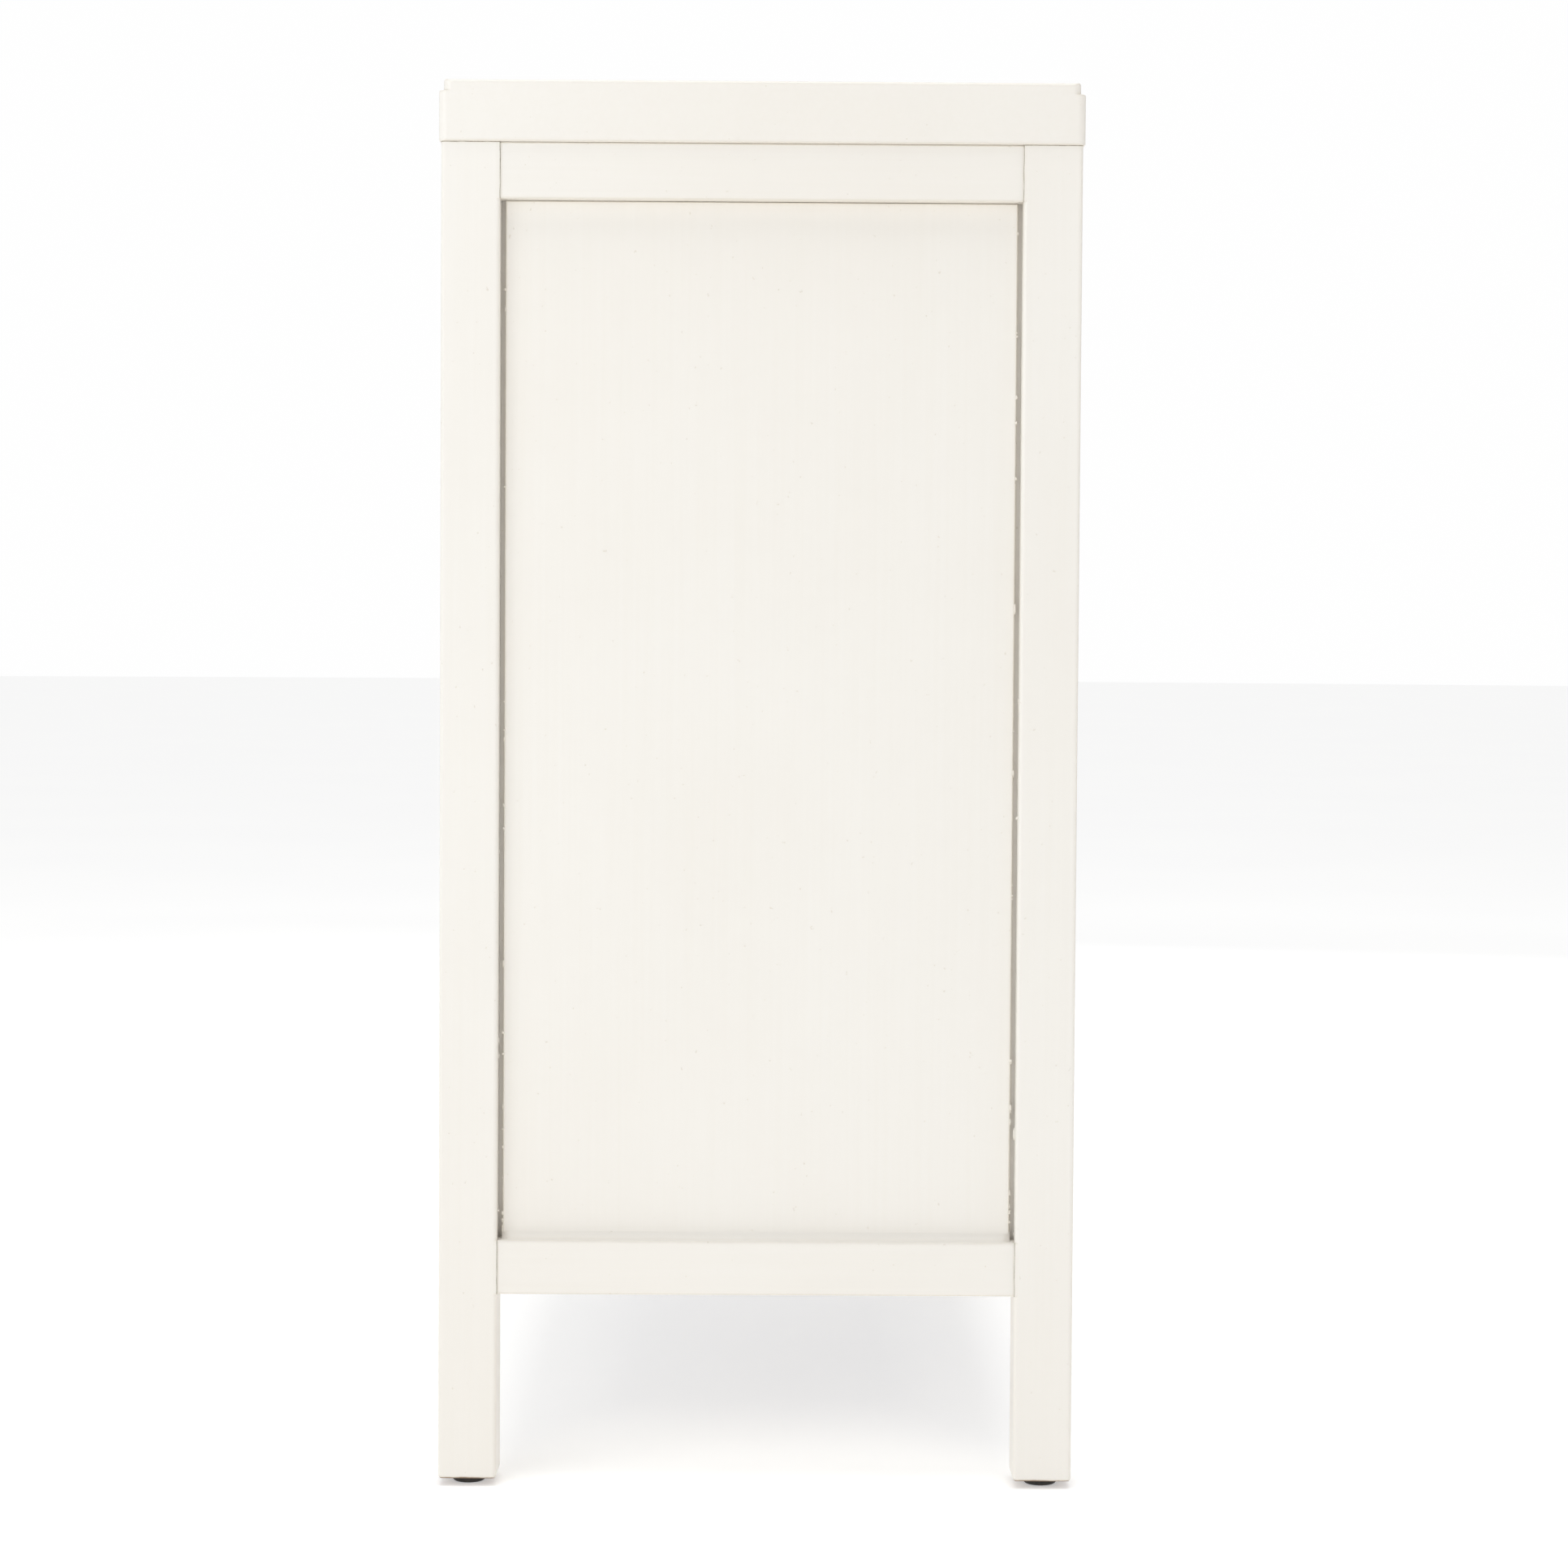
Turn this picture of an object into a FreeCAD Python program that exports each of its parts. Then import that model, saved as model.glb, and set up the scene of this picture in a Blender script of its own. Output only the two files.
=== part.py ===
"""Apothecary cabinet: a lacquered leg-and-rail carcass that holds a grid of ring-pull drawers.

Frame: X is the width, Y the depth with the drawers facing -Y, Z is up.
The origin is on the floor, under the middle of the cabinet. Sizes are in millimetres.
"""
import FreeCAD
import Part
import math
import os
from collections import namedtuple

# --- Overall sizes ---
TOP_WIDTH = 800.0
TOP_DEPTH = 400.0
CABINET_HEIGHT = 876.0

# --- Top board ---
TOP_BAND_THICKNESS = 31.0
TOP_STEP_HEIGHT = 7.0
TOP_STEP_INSET = 3.0
TOP_OVERHANG = 1.5
TOP_CORNER_RADIUS = 5.0
TOP_STEP_EDGE_RADIUS = 1.8
TOP_BAND_EDGE_RADIUS = 1.2

# --- Legs and glides ---
LEG_SIZE = 36.5
LEG_ARRIS_RADIUS = 2.4
LEG_FOOT_RADIUS = 2.2
GLIDE_RADIUS = 10.5
GLIDE_HEIGHT = 4.5
GLIDE_EDGE_RADIUS = 2.2
GLIDE_SHANK_RADIUS = 2.0
GLIDE_SHANK_LENGTH = 14.0

# --- Rails and their mortise-and-tenon joints ---
RAIL_SETBACK = 1.0
TOP_RAIL_HEIGHT = 35.0
BOTTOM_RAIL_HEIGHT = 34.0
RAIL_FLOOR_GAP = 121.0
RAIL_ARRIS_RADIUS = 1.5
TENON_THICKNESS = 10.0
TENON_SHOULDER = 6.0
TENON_WALL = 1.0
TENON_END_GAP = 0.6

# --- Framed panels in the two ends and the back ---
PANEL_RECESS = 10.0
PANEL_THICKNESS = 11.0
PANEL_SIDE_GAP = 3.0
PANEL_EDGE_RADIUS = 1.0
TONGUE_THICKNESS = 5.0
TONGUE_LENGTH = 5.5
GROOVE_LIP = 5.0

# --- Drawer grid, dividers and running gear ---
COLUMNS = 3
ROWS = 3
DIVIDER_THICKNESS = 20.0
ROW_RAIL_HEIGHT = 20.0
FACE_EDGE_RADIUS = 1.0
HOUSING_DEPTH = 4.0
RUNNER_WIDTH = 18.0
RUNNER_HEIGHT = 16.0
GUIDE_UPSTAND = 22.0
STOP_LENGTH = 14.0
STOP_HEIGHT = 12.0
BOTTOM_BOARD_THICKNESS = 8.0
BOTTOM_BOARD_TONGUE = 5.0

# --- Drawers ---
FRONT_INSET = 9.0
FRONT_THICKNESS = 18.0
FRONT_REVEAL = 1.5
FRONT_EDGE_RADIUS = 1.6
SIDE_THICKNESS = 10.0
BACK_THICKNESS = 10.0
SIDE_CLEARANCE = 1.0
SIDE_HEADROOM = 9.0
SLIDE_CLEARANCE = 0.5
BACK_DROP = 6.0
BACK_INSET = 10.0
FRONT_DADO = 6.0
BACK_DADO = 4.0
DRAWER_BOTTOM_THICKNESS = 5.0
DRAWER_BOTTOM_RISE = 8.0
DRAWER_BOTTOM_TONGUE = 5.0

# --- Ring pulls ---
PLATE_RADIUS = 23.0
PLATE_THICKNESS = 1.5
PLATE_BEVEL = 0.7
PLATE_BEAD_RADIUS = 0.9
PLATE_BEAD_INSET = 2.4
PLATE_DISH_RADIUS = 11.0
PLATE_DISH_DEPTH = 0.6
RING_RADIUS = 15.5
RING_WIRE_RADIUS = 1.7
RING_PIN_RADIUS = 1.5
RING_BEAD_RADIUS = 2.4
EYE_RADIUS = 3.0
EYE_WIDTH = 5.0
EYE_TAIL_RADIUS = 2.0
PLATE_TO_PIN = 3.2
NUT_RADIUS = 4.5
NUT_THICKNESS = 3.0

# --- Battens and screws that hold the top down ---
TOP_BATTEN_HEIGHT = 20.0
TOP_BATTEN_WIDTH = 20.0
SCREW_RADIUS = 2.0
SCREW_HEAD_RADIUS = 4.0
SCREW_HEAD_HEIGHT = 3.0
SCREW_BITE = 16.0
SCREW_END_DISTANCE = 50.0

# --- Clearances ---
JOINT_CLEARANCE = 0.2
HOLE_CLEARANCE = 0.1
RING_FIT = 0.08
RING_END_PLAY = 0.3
POCKET_CLEARANCE = 0.5
STOP_CLEARANCE = 0.5

# --- Places that follow from the sizes above ---
TOP_THICKNESS = TOP_BAND_THICKNESS + TOP_STEP_HEIGHT
UNDER_TOP = CABINET_HEIGHT - TOP_THICKNESS
HALF_WIDTH = TOP_WIDTH / 2 - TOP_OVERHANG
HALF_DEPTH = TOP_DEPTH / 2 - TOP_OVERHANG
RAIL_THICKNESS = PANEL_RECESS + PANEL_THICKNESS + GROOVE_LIP - RAIL_SETBACK
RAIL_INNER = RAIL_SETBACK + RAIL_THICKNESS
PANEL_INNER = PANEL_RECESS + PANEL_THICKNESS
TENON_OUTER = RAIL_SETBACK + (RAIL_THICKNESS - TENON_THICKNESS) / 2
TENON_INNER = TENON_OUTER + TENON_THICKNESS
TENON_LENGTH = LEG_SIZE - TENON_INNER - TENON_WALL - TENON_END_GAP - JOINT_CLEARANCE
TOP_RAIL_Z = UNDER_TOP - TOP_RAIL_HEIGHT
BOTTOM_RAIL_TOP = RAIL_FLOOR_GAP + BOTTOM_RAIL_HEIGHT
BOTTOM_BOARD_TOP = BOTTOM_RAIL_TOP - RUNNER_HEIGHT
BAY_WIDTH = (2 * (HALF_WIDTH - LEG_SIZE) - (COLUMNS - 1) * DIVIDER_THICKNESS) / COLUMNS
BAY_HEIGHT = (TOP_RAIL_Z - BOTTOM_RAIL_TOP - (ROWS - 1) * ROW_RAIL_HEIGHT) / ROWS
RUNNER_FRONT = -(HALF_DEPTH - RAIL_INNER)
RUNNER_BACK = HALF_DEPTH - RAIL_INNER
DRAWER_FACE = -(HALF_DEPTH - FRONT_INSET)
FRONT_BACK = DRAWER_FACE + FRONT_THICKNESS
DRAWER_BACK = RUNNER_BACK - STOP_LENGTH - STOP_CLEARANCE
PIN_Y = DRAWER_FACE - PLATE_THICKNESS - PLATE_TO_PIN
RING_HALF_CHORD = EYE_WIDTH / 2 + RING_END_PLAY + RING_BEAD_RADIUS
RING_DROP = math.sqrt(RING_RADIUS ** 2 - RING_HALF_CHORD ** 2)

Block = namedtuple("Block", "x0 x1 y0 y1 z0 z1")
WALLS = {"left": ("x", -1), "right": ("x", 1), "front": ("y", -1), "back": ("y", 1)}
END_WALLS = ("left", "right")
PANELLED_WALLS = END_WALLS + ("back",)
SCREWED_WALLS = END_WALLS + ("front",)


def solid(block):
    """A box solid that fills a block."""
    corner = FreeCAD.Vector(block.x0, block.y0, block.z0)
    return Part.makeBox(block.x1 - block.x0, block.y1 - block.y0, block.z1 - block.z0, corner)


def pocket_for(block):
    """The pocket that a block fits in, with the joint clearance on every side."""
    gap = JOINT_CLEARANCE
    wider = (block.x0 - gap, block.x1 + gap, block.y0 - gap, block.y1 + gap)
    return Block(*wider, block.z0 - gap, block.z1 + gap)


def overlap(a, b):
    """Whether two blocks share some volume."""
    across_x = a.x0 < b.x1 and b.x0 < a.x1
    across_y = a.y0 < b.y1 and b.y0 < a.y1
    across_z = a.z0 < b.z1 and b.z0 < a.z1
    return across_x and across_y and across_z


def cut_pockets(shape, block, pockets):
    """Cut from a piece each pocket that reaches into its block."""
    for pocket in pockets:
        if overlap(block, pocket):
            shape = shape.cut(solid(pocket))
    return shape


def round_edges(shape, radius, wanted):
    """Round the edges whose bounding box passes a test."""
    edges = [edge for edge in shape.Edges if wanted(edge.BoundBox)]
    return shape.makeFillet(radius, edges)


def is_upright(bounds):
    """An edge that runs along Z."""
    return bounds.XLength < 0.01 and bounds.YLength < 0.01


def is_on_face(bounds):
    """An edge in the plane of the front rails' faces."""
    return bounds.YMax < -(HALF_DEPTH - RAIL_SETBACK) + 0.01


def at_height(level):
    """A test for edges that lie flat at one height."""
    return lambda bounds: abs(bounds.ZMin - level) < 0.01 and abs(bounds.ZMax - level) < 0.01


def rod(centre, axis, length, radius):
    """A cylinder from a point along an axis."""
    return Part.makeCylinder(radius, length, FreeCAD.Vector(*centre), FreeCAD.Vector(*axis))


def save(name, pieces):
    """Write one node's solid, or its group of separate solids."""
    shape = pieces[0] if len(pieces) == 1 else Part.makeCompound(pieces)
    shape.exportStep(f"parts/{name}.step")


# --- Walls: a wall's depth is measured inwards from the outer faces of the legs ---

def wall_block(wall, along, depth, height):
    """A block in a wall, given its spans along the wall, into it and upwards."""
    axis, side = WALLS[wall]
    if axis == "x":
        xs = sorted((side * (HALF_WIDTH - depth[0]), side * (HALF_WIDTH - depth[1])))
        return Block(xs[0], xs[1], along[0], along[1], height[0], height[1])
    ys = sorted((side * (HALF_DEPTH - depth[0]), side * (HALF_DEPTH - depth[1])))
    return Block(along[0], along[1], ys[0], ys[1], height[0], height[1])


def half_span(wall):
    """Half the clear length between the two legs of a wall."""
    return (HALF_DEPTH if WALLS[wall][0] == "x" else HALF_WIDTH) - LEG_SIZE


def rail_heights():
    """The bottom and top of each of a wall's two rails."""
    return {"top": (TOP_RAIL_Z, UNDER_TOP), "bottom": (RAIL_FLOOR_GAP, BOTTOM_RAIL_TOP)}


def rail_body(wall, height):
    """A rail's block between its shoulders."""
    half = half_span(wall)
    return wall_block(wall, (-half, half), (RAIL_SETBACK, RAIL_INNER), height)


def rail_tenons(wall, height, clearance=0.0, end_gap=0.0):
    """The block that runs through a rail and out at both ends as its tenons."""
    half = half_span(wall) + TENON_LENGTH + end_gap
    depth = (TENON_OUTER - clearance, TENON_INNER + clearance)
    tall = (height[0] + TENON_SHOULDER - clearance, height[1] - TENON_SHOULDER + clearance)
    return wall_block(wall, (-half, half), depth, tall)


def mortises():
    """The pockets in the legs for every rail's tenons."""
    pockets = []
    for wall in WALLS:
        for height in rail_heights().values():
            pockets.append(rail_tenons(wall, height, JOINT_CLEARANCE, TENON_END_GAP))
    return pockets


def panel_tongue(wall, clearance=0.0):
    """The thin block that runs round a panel and sits in the frame's grooves."""
    half = half_span(wall) + TONGUE_LENGTH + clearance
    depth = (PANEL_INNER - TONGUE_THICKNESS - clearance, PANEL_INNER + clearance)
    low = BOTTOM_RAIL_TOP - TONGUE_LENGTH - clearance
    high = TOP_RAIL_Z + TONGUE_LENGTH + clearance
    return wall_block(wall, (-half, half), depth, (low, high))


def panel_grooves():
    """The grooves in legs and rails for every panel's tongue."""
    return [panel_tongue(wall, JOINT_CLEARANCE) for wall in PANELLED_WALLS]


def board_block(clearance=0.0):
    """The bottom board's block, tongues included."""
    half_x = HALF_WIDTH - RAIL_INNER + BOTTOM_BOARD_TONGUE + clearance
    half_y = HALF_DEPTH - RAIL_INNER + BOTTOM_BOARD_TONGUE + clearance
    low = BOTTOM_BOARD_TOP - BOTTOM_BOARD_THICKNESS - clearance
    return Block(-half_x, half_x, -half_y, half_y, low, BOTTOM_BOARD_TOP + clearance)


# --- Drawer grid ---

def bay_block(row, column):
    """The opening of one drawer, from front rail to runner end. Row 0 is the top row."""
    left = -(HALF_WIDTH - LEG_SIZE) + column * (BAY_WIDTH + DIVIDER_THICKNESS)
    floor = BOTTOM_RAIL_TOP + (ROWS - 1 - row) * (BAY_HEIGHT + ROW_RAIL_HEIGHT)
    return Block(left, left + BAY_WIDTH, RUNNER_FRONT, RUNNER_BACK, floor, floor + BAY_HEIGHT)


def grid():
    """Every row and column of the drawer grid."""
    return [(row, column) for row in range(ROWS) for column in range(COLUMNS)]


def row_rail_blocks(clearance=0.0):
    """The short rails under every drawer above the bottom row, ends let into their housings."""
    blocks = []
    for row, column in grid():
        if row == ROWS - 1:
            continue
        bay = bay_block(row, column)
        along = (bay.x0 - HOUSING_DEPTH - clearance, bay.x1 + HOUSING_DEPTH + clearance)
        height = (bay.z0 - ROW_RAIL_HEIGHT - clearance, bay.z0 + clearance)
        blocks.append(wall_block("front", along, (RAIL_SETBACK, RAIL_INNER + clearance), height))
    return blocks


# --- Carcass pieces ---

def make_leg(side_x, side_y):
    """One square leg, with its mortises, panel grooves, housings and glide hole."""
    xs = sorted((side_x * HALF_WIDTH, side_x * (HALF_WIDTH - LEG_SIZE)))
    ys = sorted((side_y * HALF_DEPTH, side_y * (HALF_DEPTH - LEG_SIZE)))
    block = Block(xs[0], xs[1], ys[0], ys[1], GLIDE_HEIGHT, UNDER_TOP)
    leg = round_edges(solid(block), LEG_ARRIS_RADIUS, is_upright)
    leg = round_edges(leg, LEG_FOOT_RADIUS, at_height(GLIDE_HEIGHT))
    leg = cut_pockets(leg, block, mortises() + panel_grooves() + row_rail_blocks(JOINT_CLEARANCE))
    hole_foot = leg_centre(side_x, side_y) + (GLIDE_HEIGHT,)
    hole_depth = GLIDE_SHANK_LENGTH + TENON_END_GAP
    return leg.cut(rod(hole_foot, (0, 0, 1), hole_depth, GLIDE_SHANK_RADIUS + HOLE_CLEARANCE))


def leg_centre(side_x, side_y):
    """The middle of a leg's section."""
    return (side_x * (HALF_WIDTH - LEG_SIZE / 2), side_y * (HALF_DEPTH - LEG_SIZE / 2))


def make_glide(side_x, side_y):
    """A nail-on floor glide under one leg."""
    x, y = leg_centre(side_x, side_y)
    disc = rod((x, y, 0), (0, 0, 1), GLIDE_HEIGHT, GLIDE_RADIUS)
    disc = round_edges(disc, GLIDE_EDGE_RADIUS, at_height(0.0))
    shank_foot = GLIDE_HEIGHT / 2
    shank_top = GLIDE_HEIGHT + GLIDE_SHANK_LENGTH
    return disc.fuse(rod((x, y, shank_foot), (0, 0, 1), shank_top - shank_foot, GLIDE_SHANK_RADIUS))


def make_rail(wall, level):
    """One frame rail with its tenons, grooves and screw holes."""
    height = rail_heights()[level]
    body = rail_body(wall, height)
    along = "XLength" if WALLS[wall][0] == "y" else "YLength"
    long_edge = 2 * half_span(wall) - 0.01
    rail = round_edges(solid(body), RAIL_ARRIS_RADIUS, lambda bounds: getattr(bounds, along) > long_edge)
    rail = rail.fuse(solid(rail_tenons(wall, height)))
    pockets = [board_block(JOINT_CLEARANCE)]
    if wall in PANELLED_WALLS:
        pockets.append(panel_tongue(wall, JOINT_CLEARANCE))
    rail = cut_pockets(rail, body, pockets)
    if level == "top" and wall == "front":
        rail = cut_screw_holes(rail, wall)
    return rail


def make_panel(wall):
    """A panel with a thick field and a thin tongue, gapped from the legs so that it can move."""
    half = half_span(wall) - PANEL_SIDE_GAP
    height = (BOTTOM_RAIL_TOP + JOINT_CLEARANCE, TOP_RAIL_Z - JOINT_CLEARANCE)
    field = solid(wall_block(wall, (-half, half), (PANEL_RECESS, PANEL_INNER), height))
    axis, side = WALLS[wall]
    face = side * ((HALF_WIDTH if axis == "x" else HALF_DEPTH) - PANEL_RECESS)
    low, high = ("XMin", "XMax") if axis == "x" else ("YMin", "YMax")

    def on_face(bounds):
        return abs(getattr(bounds, low) - face) < 0.01 and abs(getattr(bounds, high) - face) < 0.01

    return round_edges(field, PANEL_EDGE_RADIUS, on_face).fuse(solid(panel_tongue(wall)))


def make_slab(half_y, height, edge_radius, is_rounded):
    """A full-width slab with rounded corners, and with the edges that pass a test rounded too."""
    block = Block(-TOP_WIDTH / 2, TOP_WIDTH / 2, -half_y, half_y, height[0], height[1])
    cornered = round_edges(solid(block), TOP_CORNER_RADIUS, is_upright)
    return round_edges(solid(block), edge_radius, is_rounded).common(cornered)


def make_top():
    """The top board: a band with a step on it, flush at the ends and rebated along the front and back."""
    ledge = UNDER_TOP + TOP_BAND_THICKNESS

    def is_band_edge(bounds):
        is_long = at_height(ledge)(bounds) and bounds.XLength > TOP_DEPTH / 2 and bounds.YLength < 0.01
        return is_long or at_height(UNDER_TOP)(bounds)

    band = make_slab(TOP_DEPTH / 2, (UNDER_TOP, ledge), TOP_BAND_EDGE_RADIUS, is_band_edge)
    step_half = TOP_DEPTH / 2 - TOP_STEP_INSET
    step_edge = at_height(CABINET_HEIGHT)
    step = make_slab(step_half, (ledge, CABINET_HEIGHT), TOP_STEP_EDGE_RADIUS, step_edge)
    top = band.fuse(step).removeSplitter()
    for wall in SCREWED_WALLS:
        top = cut_screw_holes(top, wall)
    return top


def batten_block(wall):
    """A batten under the top, along the inside of an end's top rail."""
    half = half_span(wall)
    depth = (RAIL_INNER, RAIL_INNER + TOP_BATTEN_WIDTH)
    return wall_block(wall, (-half, half), depth, (UNDER_TOP - TOP_BATTEN_HEIGHT, UNDER_TOP))


def screw_places(wall):
    """The heads of a wall's three screws: in the front rail, or in the batten of an end."""
    zone = (RAIL_SETBACK, RAIL_INNER) if wall == "front" else (RAIL_INNER, RAIL_INNER + TOP_BATTEN_WIDTH)
    middle = (zone[0] + zone[1]) / 2
    offset = half_span(wall) - SCREW_END_DISTANCE
    level = UNDER_TOP - TOP_BATTEN_HEIGHT
    places = []
    for along in (-offset, 0.0, offset):
        spot = wall_block(wall, (along, along), (middle, middle), (level, level))
        places.append((spot.x0, spot.y0, level))
    return places


def screw_shape(place, clearance=0.0):
    """A screw driven up into the top board, or its hole when given a clearance."""
    shank = rod(place, (0, 0, 1), TOP_BATTEN_HEIGHT + SCREW_BITE + clearance, SCREW_RADIUS + clearance)
    head = rod(place, (0, 0, 1), SCREW_HEAD_HEIGHT + clearance, SCREW_HEAD_RADIUS + clearance)
    return head.fuse(shank)


def cut_screw_holes(shape, wall):
    """Cut a wall's screw holes, with a counterbore where the wood reaches below the heads."""
    for x, y, level in screw_places(wall):
        shape = shape.cut(screw_shape((x, y, level), HOLE_CLEARANCE))
        depth = level - TOP_RAIL_Z
        shape = shape.cut(rod((x, y, TOP_RAIL_Z), (0, 0, 1), depth, SCREW_HEAD_RADIUS + HOLE_CLEARANCE))
    return shape


def make_battens():
    """Every batten between the legs of the ends: drawer guides, and one under the top."""
    battens = []
    for wall in END_WALLS:
        battens.append(cut_screw_holes(solid(batten_block(wall)), wall))
        for row in range(ROWS):
            battens.append(solid(guide_block(wall, row)))
    return battens


def make_divider(column):
    """The upright board on the right of a column, notched round the front and back rails."""
    bay = bay_block(0, column)
    depth = (RAIL_SETBACK, 2 * HALF_DEPTH - PANEL_INNER)
    block = wall_block("front", (bay.x1, bay.x1 + DIVIDER_THICKNESS), depth, (BOTTOM_BOARD_TOP, UNDER_TOP))
    rails = [rail_body(wall, height) for wall in ("front", "back") for height in rail_heights().values()]

    def is_front_edge(bounds):
        return is_upright(bounds) and is_on_face(bounds)

    board = round_edges(solid(block), FACE_EDGE_RADIUS, is_front_edge)
    return cut_pockets(board, block, rails + row_rail_blocks(JOINT_CLEARANCE))


def make_row_rail(block):
    """A short rail under a drawer, with its two front edges rounded."""
    def is_front_edge(bounds):
        return bounds.XLength > BAY_WIDTH and is_on_face(bounds)

    return round_edges(solid(block), FACE_EDGE_RADIUS, is_front_edge)


def runner_blocks(row, column):
    """The two strips that one drawer's sides run on."""
    bay = bay_block(row, column)
    low = bay.z0 - RUNNER_HEIGHT
    left = Block(bay.x0, bay.x0 + RUNNER_WIDTH, bay.y0, bay.y1, low, bay.z0)
    right = Block(bay.x1 - RUNNER_WIDTH, bay.x1, bay.y0, bay.y1, low, bay.z0)
    return [left, right]


def stop_block(runner):
    """A stop block on the back end of a runner."""
    front = runner.y1 - STOP_LENGTH
    return Block(runner.x0, runner.x1, front, runner.y1, runner.z1, runner.z1 + STOP_HEIGHT)


def guide_block(wall, row):
    """A batten between the two legs of an end, which steers the drawer beside it."""
    bay = bay_block(row, 0)
    half = half_span(wall)
    height = (bay.z0 - RUNNER_HEIGHT, bay.z0 + GUIDE_UPSTAND)
    return wall_block(wall, (-half, half), (RAIL_INNER, LEG_SIZE), height)


def make_bottom_board():
    """The dust board, let into the bottom rails and notched round the legs."""
    board = solid(board_block())
    reach = LEG_SIZE + JOINT_CLEARANCE
    for side_x in (-1, 1):
        for side_y in (-1, 1):
            xs = sorted((side_x * HALF_WIDTH, side_x * (HALF_WIDTH - reach)))
            ys = sorted((side_y * HALF_DEPTH, side_y * (HALF_DEPTH - reach)))
            board = board.cut(solid(Block(xs[0], xs[1], ys[0], ys[1], 0.0, UNDER_TOP)))
    return board


# --- Drawer pieces ---

def front_block(bay):
    """The drawer front, with an even gap all round."""
    xs = (bay.x0 + FRONT_REVEAL, bay.x1 - FRONT_REVEAL)
    return Block(xs[0], xs[1], DRAWER_FACE, FRONT_BACK, bay.z0 + FRONT_REVEAL, bay.z1 - FRONT_REVEAL)


def side_blocks(bay):
    """The two drawer sides, from the drawer front to the stops."""
    low = bay.z0 + SLIDE_CLEARANCE
    high = bay.z1 - SIDE_HEADROOM
    left = bay.x0 + SIDE_CLEARANCE
    right = bay.x1 - SIDE_CLEARANCE
    return [
        Block(left, left + SIDE_THICKNESS, FRONT_BACK, DRAWER_BACK, low, high),
        Block(right - SIDE_THICKNESS, right, FRONT_BACK, DRAWER_BACK, low, high),
    ]


def side_tongue(side, bay):
    """The half-thickness tongue that lets the front end of a drawer side into the drawer front."""
    middle = (side.x0 + side.x1) / 2
    towards_centre = side.x0 > (bay.x0 + bay.x1) / 2
    xs = (side.x0, middle) if towards_centre else (middle, side.x1)
    return Block(xs[0], xs[1], side.y0 - FRONT_DADO, side.y0, bay.z0 + SIDE_HEADROOM, side.z1)


def drawer_bottom_block(bay):
    """The thin bottom, in grooves in the front and sides, under the drawer's back."""
    left, right = side_blocks(bay)
    low = left.z0 + DRAWER_BOTTOM_RISE
    xs = (left.x1 - DRAWER_BOTTOM_TONGUE, right.x0 + DRAWER_BOTTOM_TONGUE)
    ys = (FRONT_BACK - DRAWER_BOTTOM_TONGUE, DRAWER_BACK)
    return Block(xs[0], xs[1], ys[0], ys[1], low, low + DRAWER_BOTTOM_THICKNESS)


def drawer_back_block(bay):
    """The drawer's back, in housings in the sides, standing on the bottom."""
    left, right = side_blocks(bay)
    low = drawer_bottom_block(bay).z1
    xs = (left.x1 - BACK_DADO, right.x0 + BACK_DADO)
    ys = (DRAWER_BACK - BACK_INSET - BACK_THICKNESS, DRAWER_BACK - BACK_INSET)
    return Block(xs[0], xs[1], ys[0], ys[1], low, left.z1 - BACK_DROP)


def make_front(bay):
    """The drawer front, with dados, a groove and the pull's hole and nut pocket."""
    block = front_block(bay)

    def on_face(bounds):
        return bounds.YMax < DRAWER_FACE + 0.01

    front = round_edges(solid(block), FRONT_EDGE_RADIUS, on_face)
    pockets = [pocket_for(drawer_bottom_block(bay))]
    for side in side_blocks(bay):
        pockets.append(pocket_for(side_tongue(side, bay)))
    front = cut_pockets(front, block, pockets)
    x, z = pin_place(bay)
    front = front.cut(rod((x, DRAWER_FACE, z), (0, 1, 0), FRONT_THICKNESS, EYE_TAIL_RADIUS + HOLE_CLEARANCE))
    pocket_floor = FRONT_BACK - NUT_THICKNESS - POCKET_CLEARANCE
    return front.cut(rod((x, pocket_floor, z), (0, 1, 0), FRONT_THICKNESS, NUT_RADIUS + POCKET_CLEARANCE))


def make_drawer_box(bay):
    """The sides, back and bottom of one drawer, as separate solids."""
    bottom = drawer_bottom_block(bay)
    back = drawer_back_block(bay)
    pockets = [pocket_for(bottom), pocket_for(back)]
    pieces = []
    for side in side_blocks(bay):
        shape = solid(side).fuse(solid(side_tongue(side, bay)))
        pieces.append(cut_pockets(shape, side, pockets).removeSplitter())
    pieces.append(solid(back))
    pieces.append(solid(bottom))
    return pieces


def pin_place(bay):
    """The pull's pin axis in the drawer front: the ring then hangs about the front's middle."""
    return (bay.x0 + bay.x1) / 2, (bay.z0 + bay.z1) / 2 + RING_DROP


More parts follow.
